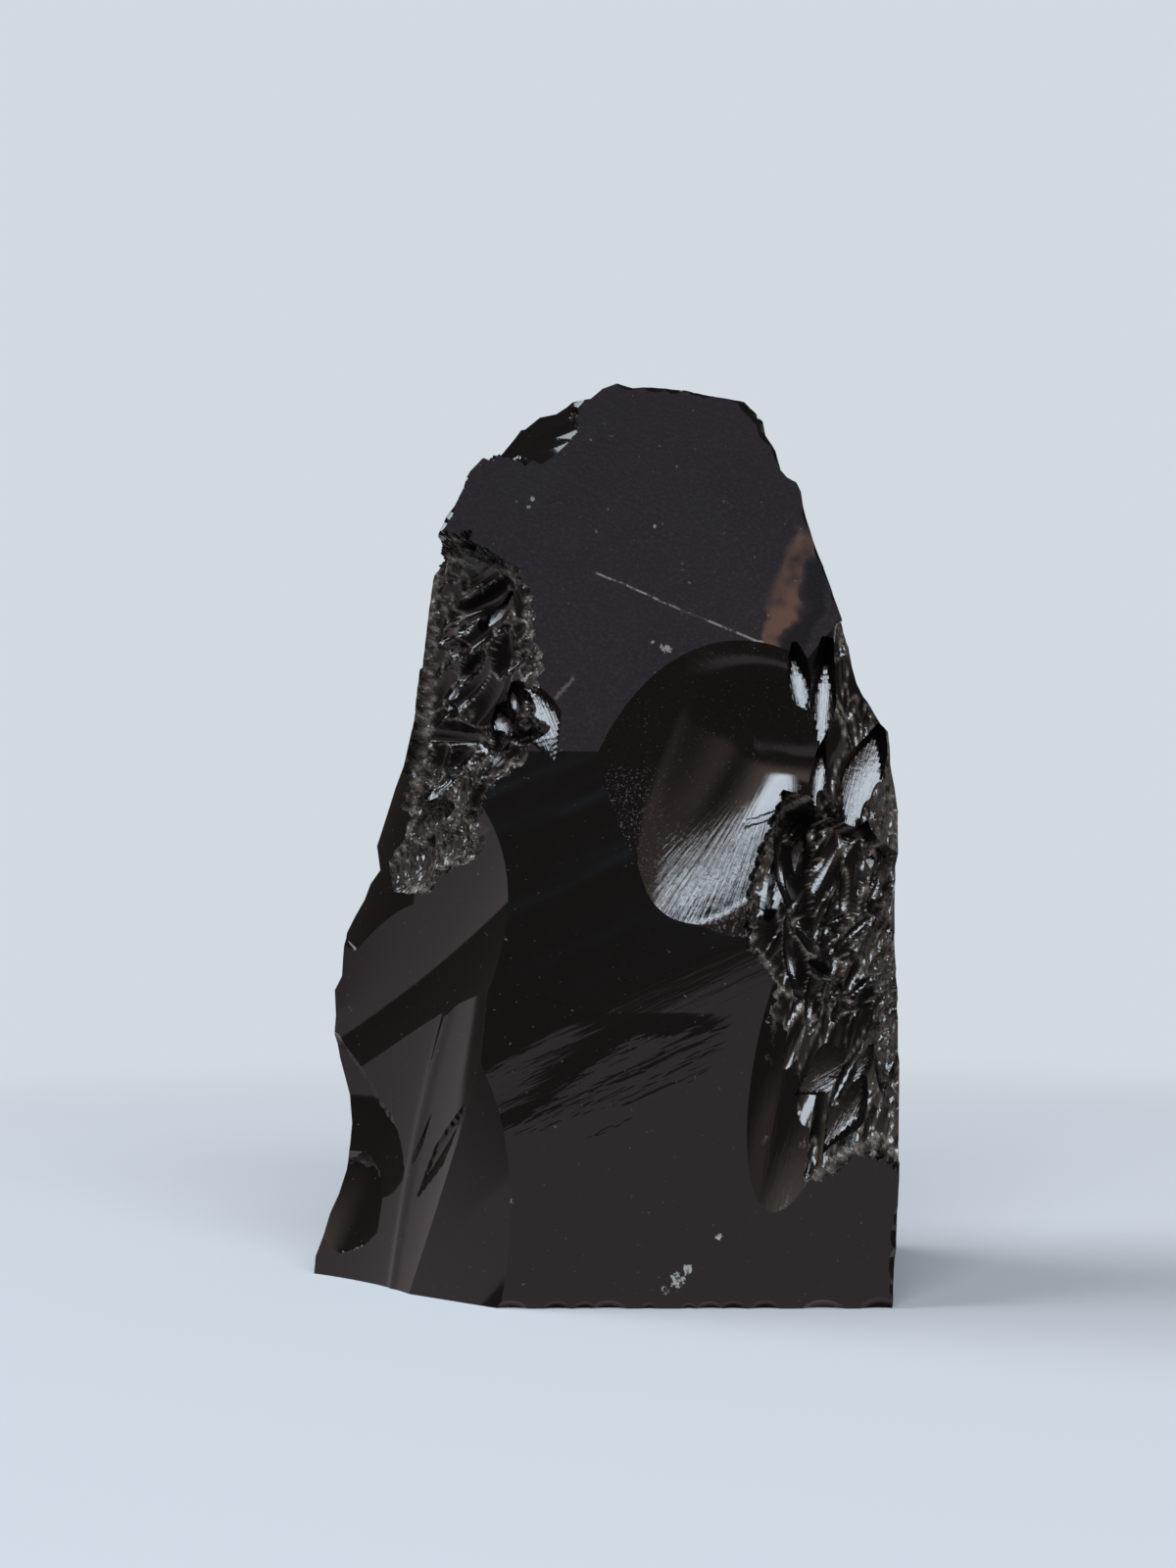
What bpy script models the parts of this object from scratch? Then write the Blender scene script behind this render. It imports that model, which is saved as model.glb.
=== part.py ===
"""A standing lump of obsidian with a sawn base: one block of volcanic glass, shaped by flake scars.

Every face of a broken piece of glass is the scar that a flake left. The lump starts as a slab with
the outline of the front, and each scar is taken out of it as a shallow bowl or saddle. The crushed
zones are scars whose skin is broken again into many narrow flake scars. X runs to the right, Y away
from the front and Z up, and the origin is at the middle of the base.
"""

import math
import random
from collections import namedtuple

import bmesh
import bpy
import numpy as np
from mathutils import Matrix, Vector

MM = 0.001

# Driving dimensions, in millimetres.
THICKNESS = 46.0
FRONT_MARGIN = 4.0
MIDDLE = -1.06
RIDGE = 60.0
LEAN = 0.105
FLAT = 100000.0
CUTTER_HEIGHT = 30.0
CRUSH_MARGIN = 0.2
FULL_FLAKE_DEPTH = 5.0
NIBBLE_SIZE = (1.0, 2.2)

# The outline of the lump seen from the front, as (x, z) pairs, anticlockwise from the base's right.
OUTLINE = (
    (30.4, 0.0), (30.8, 6.6), (31.0, 14.2), (31.5, 22.8), (31.8, 35.1), (31.6, 53.6), (30.7, 58.7),
    (30.4, 62.3), (28.5, 65.1), (26.9, 67.6), (25.9, 71.5), (24.3, 76.6), (22.0, 83.0), (20.9, 86.9),
    (20.2, 89.5), (18.5, 90.8), (16.9, 94.7), (14.6, 98.4), (8.2, 99.7), (0.7, 100.4), (-4.1, 98.4),
    (-7.8, 96.5), (-11.1, 95.1), (-13.9, 93.5), (-15.5, 90.8), (-17.0, 86.9), (-18.8, 83.8),
    (-19.9, 79.4), (-20.6, 74.4), (-21.7, 66.6), (-22.6, 61.4), (-24.3, 56.2), (-26.6, 49.5),
    (-26.1, 46.8), (-29.2, 41.4), (-30.7, 34.6), (-31.7, 27.7), (-30.0, 20.7), (-29.9, 15.1),
    (-31.3, 9.2), (-33.0, 4.6), (-34.2, 0.0),
)

Crush = namedtuple("Crush", "seed count length width depth tilt spread")
Scar = namedtuple("Scar", "at facing run half_length half_width along across step crush", defaults=(3.0, None))


def vec(x, y, z):
    return Vector((x, y, z))


# Each scar has a point on it, the way that it faces, the way that the crack ran, its half length and
# half width, and its radii along and across the run. A negative radius bulges instead of dishing.
SCARS = {
    "matte_face": Scar(vec(2, 1.89, 78), vec(0, -1, LEAN), vec(0, 0, -1), 60, 60, FLAT, FLAT, 60),
    "broad_face": Scar(vec(2, 0, 30), vec(0, -1, 0), vec(-1, 0, -0.3), 70, 70, -4000, -4000, 14),
    "scoop": Scar(vec(6.6, 1.1, 58.9), vec(0.08, -1, 0.01), vec(0.04, 0, -1), 40, 24, 249, 95, 2),
    "inner_bowl": Scar(vec(12, 2.8, 49.7), vec(0.04, -0.99, 0.15), vec(-0.34, -0.16, -0.93), 20, 12, 44, 11, 1),
    "scar_a": Scar(vec(-18.6, 9.8, 37.7), vec(-0.75, -0.66, 0), vec(0.55, -0.62, 0.57), 24, 16, 120, 18, 1.5),
    "scar_b": Scar(vec(-19.3, 10, 20.3), vec(-0.87, -0.48, 0.06), vec(-0.37, 0.58, -0.73), 30, 14, -591, 23, 1.5),
    "scar_c": Scar(vec(-27, 22.8, 11.8), vec(-0.84, -0.54, -0.08), vec(-0.33, 0.62, -0.71), 24, 15, 172, 29, 1.5),
    "scar_d": Scar(vec(-15.8, 3.7, 10.3), vec(-0.6, -0.8, -0.05), vec(0.69, -0.56, 0.46), 18, 14, -170, 56),
    "left_slope": Scar(
        vec(-15.2, 4.5, 65.1), vec(-0.56, -0.83, 0.02), vec(0.26, -0.19, -0.95), 21, 19, 40, -26, 1.3,
        Crush(3, 110, 6, 2.4, 1.1, 0.25, 0.7),
    ),
    "left_facet": Scar(vec(-22.4, 13.2, 60.3), vec(-0.9, -0.44, 0.05), vec(-0.21, 0.34, -0.92), 24, 10, 112, -20),
    "left_bump": Scar(vec(-29.4, 15.5, 37), vec(-0.8, -0.56, -0.1), vec(0, 0, -1), 6, 4, 9, 5, 1),
    "right_upper": Scar(
        vec(24, 3.2, 62), vec(0.36, -0.92, -0.02), vec(0, 0, -1), 18, 12, 45, 60, 1.3,
        Crush(4, 60, 8, 2.6, 1.0, 0.22, 0.3),
    ),
    "right_middle": Scar(
        vec(21.6, 4.6, 40.1), vec(0.4, -0.89, 0.23), vec(0.84, 0.25, -0.48), 15, 12, 137, 26, 1.3,
        Crush(5, 60, 6, 2.4, 1.1, 0.22, 0.5),
    ),
    "right_lower": Scar(
        vec(26, 4, 27), vec(0.1, -0.97, 0.2), vec(-0.3, 0, -1), 17, 14, 30, 24, 1.3,
        Crush(6, 40, 8, 2.6, 0.9, 0.2, 0.3),
    ),
    "right_leaf": Scar(vec(18.5, 1.8, 22), vec(0.12, -0.99, 0.04), vec(-0.28, 0, -0.96), 20, 8, 40, 6, 1.5),
    "top_left_chip": Scar(vec(-8, 4.3, 94.6), vec(-0.19, -0.88, 0.44), vec(0.71, -0.44, -0.55), 7, 6, 18, 7, 1),
    "back_upper": Scar(vec(3, 31, 72), vec(0.1, 0.9, 0.42), vec(0.2, 0, -1), 60, 50, 130, 60),
    "back_lower": Scar(vec(-4, 43, 22), vec(-0.12, 1, 0.06), vec(1, 0, -0.3), 60, 50, 110, 120),
    "back_right": Scar(vec(26, 37, 36), vec(0.66, 0.74, 0.12), vec(0, 0, -1), 60, 30, 90, 40),
    "back_left": Scar(vec(-21, 33, 46), vec(-0.62, 0.76, 0.2), vec(0, 0.3, -1), 60, 30, 80, 34),
    "right_neck": Scar(vec(23.5, 17, 74), vec(0.88, 0.28, 0.38), vec(0, 0.4, -1), 26, 16, 70, 26),
    "right_hip": Scar(vec(30.4, 24, 47), vec(0.97, 0.2, 0.1), vec(0, 0.2, -1), 22, 18, 90, 60),
    "top_right": Scar(vec(13, 14, 94), vec(0.62, 0.42, 0.66), vec(0.3, 1, -0.5), 24, 14, 60, 24),
    "top": Scar(vec(-1, 15, 93.5), vec(-0.1, 0.5, 0.86), vec(0, 1, -0.6), 26, 16, 50, 36),
    "top_left": Scar(vec(-13, 14, 86), vec(-0.72, 0.3, 0.62), vec(-0.3, 0.8, -0.4), 24, 18, 60, 30),
    "left_side": Scar(vec(-21.5, 25, 66), vec(-0.93, 0.3, 0.2), vec(0, 0.3, -1), 24, 14, 80, 26),
    "left_foot": Scar(vec(-31.5, 32, 12), vec(-0.92, 0.36, 0.12), vec(0, 0.3, -1), 26, 12, 60, 24),
    "base_chip_left": Scar(vec(-10.4, 0.5, 0.6), vec(0, -0.8, -0.6), vec(1, 0, 0), 5, 3, 7, 1.6, 1),
    "base_chip_right": Scar(vec(14.5, 0.4, 0.3), vec(0, -0.8, -0.6), vec(1, 0, 0), 8, 3, 24, 1.6, 1),
}

# Small chips along the front edges of the upper face: (x, z) ends of each run, and how many.
NIBBLED_EDGES = (
    ((-4.1, 98.4), (-13.9, 93.5), 4),
    ((-15.5, 90.8), (-18.8, 83.8), 3),
    ((20.2, 89.5), (14.6, 98.4), 4),
    ((24.3, 76.6), (20.9, 86.9), 3),
)


def clear_scene():
    for obj in list(bpy.data.objects):
        bpy.data.objects.remove(obj, do_unlink=True)


def matte_depth(z):
    """How far back the upper face is at this height: it leans back from the ridge up."""
    return max(0.0, LEAN * (z - RIDGE))


def place_of(scar):
    """The scar's frame: X along the run of the crack, Z out of the glass, in millimetres."""
    out = scar.facing.normalized()
    along = (scar.run - out * scar.run.dot(out)).normalized()
    turn = Matrix((along, out.cross(along), out)).transposed().to_4x4()
    return Matrix.Translation(scar.at) @ turn


def bowl(along, across, radius_along, radius_across):
    return along * along / (2 * radius_along) + across * across / (2 * radius_across)


def flaked(height, u, v, scar, place):
    """The skin broken by the narrow flakes of a crushed zone. Shallow glass carries smaller flakes."""
    crush = scar.crush
    chance = random.Random(crush.seed)
    made = 0
    while made < crush.count:
        at_u = chance.uniform(-0.95, 0.95) * scar.half_length
        at_v = chance.uniform(-0.95, 0.95) * scar.half_width
        level = bowl(at_u, at_v, scar.along, scar.across)
        at = place @ vec(at_u, at_v, level)
        inside = at.y - matte_depth(at.z)
        if inside < CRUSH_MARGIN or abs(at.x) > -OUTLINE[-1][0] or at.z < 0:
            continue
        made += 1
        size = min(1.0, math.sqrt(inside / FULL_FLAKE_DEPTH)) * chance.uniform(0.6, 1.4)
        turn = chance.gauss(0, crush.spread)
        depth = crush.depth * size
        along = (u - at_u) * math.cos(turn) + (v - at_v) * math.sin(turn)
        across = (v - at_v) * math.cos(turn) - (u - at_u) * math.sin(turn)
        lean = chance.gauss(0, crush.tilt) * along + chance.gauss(0, crush.tilt) * across
        dish = bowl(
            along, across, (crush.length * size) ** 2 / (8 * depth), (crush.width * size) ** 2 / (8 * depth)
        )
        height = np.minimum(height, level - depth + lean + dish)
    return height


def scar_cutter(name, scar):
    """A block whose underside is the scar's skin."""
    place = place_of(scar)
    bm = bmesh.new()
    bmesh.ops.create_grid(
        bm,
        x_segments=max(2, round(2 * scar.half_length / scar.step)),
        y_segments=max(2, round(2 * scar.half_width / scar.step)),
        size=1.0,
    )
    u = np.array([vertex.co.x for vertex in bm.verts]) * scar.half_length
    v = np.array([vertex.co.y for vertex in bm.verts]) * scar.half_width
    height = bowl(u, v, scar.along, scar.across)
    if scar.crush:
        height = flaked(height, u, v, scar, place)
    for vertex, point in zip(bm.verts, zip(u, v, height)):
        vertex.co = Vector(point) * MM
    lid = bmesh.ops.extrude_face_region(bm, geom=bm.faces[:])
    for item in lid["geom"]:
        if isinstance(item, bmesh.types.BMVert):
            item.co.z = (height.max() + CUTTER_HEIGHT) * MM
    bmesh.ops.recalc_face_normals(bm, faces=bm.faces)
    mesh = bpy.data.meshes.new(name)
    bm.to_mesh(mesh)
    bm.free()
    cutter = bpy.data.objects.new(name, mesh)
    place.translation = (place.translation - vec(MIDDLE, THICKNESS / 2, 0)) * MM
    cutter.matrix_world = place
    cutter.hide_render = True
    cutter.display_type = "WIRE"
    return cutter


def nibbles():
    """The small chips along the front edges of the upper face, as scars."""
    chance = random.Random(8)
    found = {}
    for (x0, z0), (x1, z1), count in NIBBLED_EDGES:
        outward = vec(z0 - z1, 0, x1 - x0).normalized()
        if outward.x * (x0 + x1) < 0:
            outward.negate()
        for index in range(count):
            share = (index + chance.uniform(0.2, 0.8)) / count
            size = chance.uniform(*NIBBLE_SIZE)
            x, z = x0 + (x1 - x0) * share, z0 + (z1 - z0) * share
            at = vec(x, matte_depth(z) + 0.35 * size, z) - outward * 0.12 * size
            facing = outward * chance.uniform(0.5, 1) + vec(0, -1, 0)
            run = vec(x1 - x0, 0, z1 - z0)
            found[f"nibble_{len(found)}"] = Scar(at, facing, run, 2 * size, 1.5 * size, 2 * size, size, size / 2)
    return found


def slab():
    """The outline as a slab as thick as the lump, and a little over in front."""
    depth = THICKNESS + FRONT_MARGIN
    curve = bpy.data.curves.new("outline", "CURVE")
    curve.dimensions = "2D"
    curve.fill_mode = "BOTH"
    curve.extrude = depth / 2 * MM
    ring = curve.splines.new("POLY")
    ring.points.add(len(OUTLINE) - 1)
    for point, (x, z) in zip(ring.points, OUTLINE):
        point.co = ((x - MIDDLE) * MM, z * MM, 0, 1)
    ring.use_cyclic_u = True
    drawn = bpy.data.objects.new("outline", curve)
    drawn.matrix_world = Matrix.Translation(vec(0, -FRONT_MARGIN / 2, 0) * MM) @ Matrix.Rotation(math.pi / 2, 4, "X")
    bpy.context.scene.collection.objects.link(drawn)
    graph = bpy.context.evaluated_depsgraph_get()
    mesh = bpy.data.meshes.new_from_object(drawn.evaluated_get(graph))
    bm = bmesh.new()
    bm.from_mesh(mesh)
    bmesh.ops.remove_doubles(bm, verts=bm.verts, dist=0.0001 * MM)
    bmesh.ops.recalc_face_normals(bm, faces=bm.faces)
    bm.to_mesh(mesh)
    bm.free()
    made = bpy.data.objects.new("obsidian_chunk", mesh)
    made.matrix_world = drawn.matrix_world
    bpy.data.objects.remove(drawn, do_unlink=True)
    return made


def main():
    clear_scene()
    parts = bpy.data.collections.new("obsidian_chunk")
    cutters = bpy.data.collections.new("flake_cutters")
    bpy.context.scene.collection.children.link(parts)
    bpy.context.scene.collection.children.link(cutters)
    body = slab()
    parts.objects.link(body)
    for name, scar in (SCARS | nibbles()).items():
        cutter = scar_cutter(name, scar)
        cutters.objects.link(cutter)
        cut = body.modifiers.new(name, "BOOLEAN")
        cut.object = cutter
        cut.operation = "DIFFERENCE"
        cut.solver = "EXACT"


main()
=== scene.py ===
# %% [markdown]
# # An obsidian chunk
# Obsidian is volcanic glass. It has no grain, so it breaks as a bottle breaks: each blow takes off a
# flake, and leaves a smooth, shallow bowl behind it. This lump is nothing but such bowls. The lesson
# makes them the way they came about: it starts with a plain block and takes the flakes off again.

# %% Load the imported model
import math
import random
from collections import namedtuple

import bmesh
import bpy
import numpy as np
from mathutils import Matrix, Vector


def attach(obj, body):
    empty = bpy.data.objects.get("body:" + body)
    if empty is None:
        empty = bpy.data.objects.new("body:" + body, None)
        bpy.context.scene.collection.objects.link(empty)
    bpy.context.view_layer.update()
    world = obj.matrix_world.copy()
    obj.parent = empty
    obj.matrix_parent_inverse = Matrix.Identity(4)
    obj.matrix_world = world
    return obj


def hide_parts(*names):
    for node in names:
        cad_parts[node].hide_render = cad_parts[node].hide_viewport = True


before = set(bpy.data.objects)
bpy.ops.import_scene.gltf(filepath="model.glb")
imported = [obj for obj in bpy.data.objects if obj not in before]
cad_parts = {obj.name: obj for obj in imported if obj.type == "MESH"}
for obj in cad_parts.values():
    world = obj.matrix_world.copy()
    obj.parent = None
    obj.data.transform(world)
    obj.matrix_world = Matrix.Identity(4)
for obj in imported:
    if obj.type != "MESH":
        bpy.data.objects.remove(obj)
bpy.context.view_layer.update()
MM = 0.001

# %% [markdown]
# ## Measures
# The lump is about 100 mm tall. All measures below are in millimetres, with the front face's foot at
# depth 0 and depth growing towards the back. The solid has its origin at the middle of the base, so a
# place is moved by half the thickness and by the middle of the width at the very end.
#
# A ridge crosses the front, and above it the face leans back by LEAN for each millimetre of height.
# FLAT is a radius so large that its bowl is flat.

# %% Measures of the lump
THICKNESS = 46.0
HEIGHT = 100.0
FRONT_MARGIN = 4.0
MIDDLE = -1.06
RIDGE = 60.0
LEAN = 0.105
FLAT = 100000.0
CUTTER_HEIGHT = 30.0

Scar = namedtuple(
    "Scar",
    "finish at facing run half_length half_width along across step"
    " strike toe heel dish fold crush outline ripple leaf",
    defaults=(3.0, None, None, None, None, None, (), None, None, None),
)
Crush = namedtuple("Crush", "seed count length width depth turn spread tilt least")
Ripple = namedtuple("Ripple", "spacing height reach")
Toe = namedtuple("Toe", "start radius")
Fold = namedtuple("Fold", "across turn bend height width")
Leaf = namedtuple("Leaf", "length width")


def vec(x, y, z):
    return Vector((x, y, z))


def placed(name, data):
    """A new object in the scene, with this mesh, curve, lamp or lens."""
    made = bpy.data.objects.new(name, data)
    bpy.context.scene.collection.objects.link(made)
    return made


def matte_depth(z):
    """How far back the upper face is at this height: it leans back from the ridge up."""
    return max(0.0, LEAN * (z - RIDGE))


def place_of(scar):
    """The scar's frame: X along the run of the crack, Z out of the glass, in millimetres."""
    at, out, run = (vec(*values) for values in (scar.at, scar.facing, scar.run))
    out.normalize()
    along = (run - out * run.dot(out)).normalized()
    turn = Matrix((along, out.cross(along), out)).transposed().to_4x4()
    return Matrix.Translation(at) @ turn


print("the upper face stands back", round(matte_depth(HEIGHT), 1), "mm at the top")

# %% [markdown]
# ## The block
# The block is the outline of the lump, seen from the front, as a slab. A flat curve with both faces
# filled and an extrusion gives that in one step. Its two caps and its side are separate until the
# doubles are merged.

# %% The block
OUTLINE = (
    (30.4, 0.0), (30.5, 3.1), (30.8, 6.6), (30.9, 10.4), (31.1, 14.2), (31.3, 17.5), (31.5, 22.8),
    (31.6, 29.0), (31.8, 35.1), (31.7, 44.0), (31.6, 53.6), (31.2, 56.4), (30.7, 58.7), (30.6, 60.6),
    (30.4, 62.3), (29.3, 63.6), (28.5, 65.1), (27.6, 66.2), (26.9, 67.6), (26.3, 69.5), (25.9, 71.5),
    (25.2, 74.0), (24.3, 76.6), (23.1, 80.2), (22.0, 83.0), (21.4, 85.1), (20.9, 86.9), (20.7, 88.4),
    (20.2, 89.5), (19.2, 90.0), (18.5, 90.8), (18.0, 92.9), (16.9, 94.7), (16.6, 96.2), (15.8, 97.2),
    (14.6, 98.4), (11.4, 98.9), (8.2, 99.6), (4.5, 100.0), (2.4, 99.9), (0.7, 100.4), (-0.9, 99.8),
    (-2.2, 98.7), (-4.1, 98.4), (-6.0, 97.2), (-7.8, 96.9), (-9.4, 95.6), (-11.1, 95.3), (-12.6, 94.1),
    (-13.9, 93.6), (-14.9, 92.4), (-15.5, 90.8), (-16.1, 88.8), (-17.0, 86.9), (-17.9, 85.8),
    (-18.8, 83.8), (-19.4, 81.3), (-19.9, 79.4), (-20.6, 74.4), (-21.2, 70.0), (-21.7, 66.6),
    (-22.0, 63.8), (-22.6, 61.4), (-23.3, 58.6), (-24.3, 56.2), (-25.4, 53.0), (-26.6, 49.5),
    (-26.3, 48.0), (-26.1, 46.8), (-27.3, 45.2), (-28.0, 43.4), (-29.2, 41.4), (-30.2, 39.5),
    (-30.5, 36.9), (-30.7, 34.6), (-31.6, 32.9), (-31.5, 30.0), (-31.7, 27.7), (-31.2, 24.9),
    (-30.0, 20.7), (-29.7, 17.5), (-29.9, 15.1), (-30.4, 12.0), (-31.3, 9.2), (-32.3, 7.0),
    (-33.0, 4.6), (-34.0, 2.0), (-34.2, 0.0),
)
WELD = 0.001


def block():
    """The outline as a slab, in millimetres, with the crack map that the scars carry too."""
    depth = THICKNESS + FRONT_MARGIN
    curve = bpy.data.curves.new("outline", "CURVE")
    curve.dimensions = "2D"
    curve.fill_mode = "BOTH"
    curve.extrude = depth / 2
    ring = curve.splines.new("POLY")
    ring.points.add(len(OUTLINE) - 1)
    for point, (x, z) in zip(ring.points, OUTLINE):
        point.co = (x, z, 0, 1)
    ring.use_cyclic_u = True
    drawn = placed("outline", curve)
    graph = bpy.context.evaluated_depsgraph_get()
    mesh = bpy.data.meshes.new_from_object(drawn.evaluated_get(graph))
    mesh.uv_layers.remove(mesh.uv_layers[0])
    upright = Matrix.Rotation(math.pi / 2, 4, "X")
    mesh.transform(Matrix.Translation(vec(0, depth / 2 - FRONT_MARGIN, 0)) @ upright)
    bm = bmesh.new()
    bm.from_mesh(mesh)
    bmesh.ops.remove_doubles(bm, verts=bm.verts, dist=WELD)
    bmesh.ops.recalc_face_normals(bm, faces=bm.faces)
    bm.loops.layers.uv.new("edge")
    crack = bm.loops.layers.uv.new("crack")
    for face in bm.faces:
        for loop in face.loops:
            loop[crack].uv = (loop.vert.co.z / 10, loop.vert.co.y / 10)
    bm.to_mesh(mesh)
    bm.free()
    bpy.data.objects.remove(drawn, do_unlink=True)
    return placed("block", mesh)


# %% [markdown]
# ## One scar
# The inside of a scar is part of a bowl or a saddle: a grid, lifted by a square law along and across
# the way that the crack ran. The grid is closed into a block above, and that block is the flake with
# the air in front of it. Taking it away with a Boolean leaves the scar and a crisp ridge around it.
# A toe or a heel bends one end of the bowl out of the glass sooner, a fold is a low crease along it,
# and ripples ring the blow.
#
# The crack map is kept with the grid: its first number is the distance along the crack, its second
# runs across it. Where the scar has a strike point, they are the distance from it and the angle.
# The finishes use this map, because every mark on broken glass either radiates from the blow or
# rings it. The edge map tells how near a ridge between two flakes is: 1 on it, fading to 0.

# %% The shape of a scar
SOFT_RIM, RIM_BLEND = 2.0, 2.0
CRISP, WORN = 0.02, 0.5
ROUNDS = 4


def bowl(along, across, radius_along, radius_across):
    return along * along / (2 * radius_along) + across * across / (2 * radius_across)


def skin(scar, u, v):
    """The scar's height: a bowl, and where it has a toe or a heel, that end curves out of the glass."""
    height = bowl(u, v, scar.along, scar.across)
    if scar.toe:
        height = height + np.maximum(0.0, u - scar.toe.start) ** 2 / (2 * scar.toe.radius)
    if scar.heel:
        height = height + np.maximum(0.0, -u - scar.heel.start) ** 2 / (2 * scar.heel.radius)
    if scar.fold:
        off = v - scar.fold.across - scar.fold.turn * u - scar.fold.bend * u * u
        height = height + scar.fold.height * np.exp(-((off / scar.fold.width) ** 2))
    return height


def beyond(x, z, outline):
    """How far each point lies outside a closed outline; negative inside it."""
    away = np.full(x.shape, 1e9)
    inside = np.zeros(x.shape, bool)
    for (x0, z0), (x1, z1) in zip(outline, outline[1:] + outline[:1]):
        dx, dz = x1 - x0, z1 - z0
        share = np.clip(((x - x0) * dx + (z - z0) * dz) / (dx * dx + dz * dz), 0.0, 1.0)
        away = np.minimum(away, np.hypot(x - x0 - share * dx, z - z0 - share * dz))
        if dz:
            inside ^= ((z0 > z) != (z1 > z)) & (x < x0 + (z - z0) * dx / dz)
    return np.where(inside, -away, away)


def turned_into(turn, u, v, height, rows):
    """The points of a skin in another frame; the rows of its matrix say which measures come back."""
    return [turn[row, 0] * u + turn[row, 1] * v + turn[row, 2] * height + turn[row, 3] for row in rows]


def dished(height, u, v, place, dish):
    """The skin with a deeper dish let into it: its upper rim is worn soft, its lower rim crisp."""
    turn = np.array(place_of(dish).inverted() @ place)
    lower = height.copy()
    for _ in range(ROUNDS):
        x, y, z = turned_into(turn, u, v, lower, (0, 1, 2))
        lower = lower + (skin(dish, x, y) - z) / turn[2, 2]
    softness = CRISP + WORN / (1 + np.exp((x - SOFT_RIM) / RIM_BLEND))
    depth = (height - lower) / softness
    return height - softness * np.logaddexp(0.0, depth)


# %% [markdown]
# Crushed glass is the same bowl broken again by many narrow flakes. Each is drawn by chance: its
# place, its size, the way it runs and how it leans. Near the front face they are small. Only the
# deepest flake shows at a point, and the next one above it tells how near the ridge is.

# %% Crushed skin
LEAST_INSIDE = 0.15
FULL_SIZE_INSIDE = 5.0
HALF_BASE = 34.2
VARIATION = (0.6, 1.4)


def flaked(height, next_up, u, v, scar, place, crush):
    """The skin broken by many narrow flakes, and the height of the next flake above the lowest one."""
    chance = random.Random(crush.seed)
    made = 0
    while made < crush.count:
        at_u = chance.uniform(-0.95, 0.95) * scar.half_length
        at_v = chance.uniform(-0.95, 0.95) * scar.half_width
        level = bowl(at_u, at_v, scar.along, scar.across)
        at = place @ vec(at_u, at_v, level)
        inside = at.y - matte_depth(at.z)
        if inside < LEAST_INSIDE or abs(at.x) > HALF_BASE or at.z < 0:
            continue
        made += 1
        size = max(crush.least, min(1.0, math.sqrt(inside / FULL_SIZE_INSIDE)))
        size *= chance.uniform(*VARIATION)
        turn = chance.gauss(crush.turn, crush.spread)
        depth = crush.depth * size
        along = (u - at_u) * math.cos(turn) + (v - at_v) * math.sin(turn)
        across = (v - at_v) * math.cos(turn) - (u - at_u) * math.sin(turn)
        lean = 0.5 * chance.gauss(0, crush.tilt) * along + chance.gauss(0, crush.tilt) * across
        dish = bowl(
            along, across, (crush.length * size) ** 2 / (8 * depth), (crush.width * size) ** 2 / (8 * depth)
        )
        start = min(level, height[np.argmin((u - at_u) ** 2 + (v - at_v) ** 2)])
        floor_of_flake = start - depth + lean + dish
        next_up = np.minimum(next_up, np.maximum(height, floor_of_flake))
        height = np.minimum(height, floor_of_flake)
    return height, next_up


# %% [markdown]
# The flake is the skin's grid with a wall raised on its rim and a lid on the wall. A scar with an
# outline bends steeply up outside it, and a splinter bends up outside its pointed leaf shape, so that
# they leave the glass there. The outline of a crushed zone is ragged.

# %% The flake that a scar leaves
EDGE_STEEPNESS = 1.6
LEAF_STEEPNESS = 4.0
LEAF_BLUNTNESS = 1.3
LEAF_TAPER = 0.3
EDGE_WIDTH = 0.05
CRUMBLED = 0.2
NONE_ABOVE = 10.0
WAVES = ((0.25, 2.1, 3.3), (0.2, 5.3, -4.1), (0.12, 11.0, 8.0))


def ragged(x, z):
    """A few waves that make an outline ragged."""
    return sum(size * np.sin(wave_x * x + wave_z * z) for size, wave_x, wave_z in WAVES)


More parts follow.
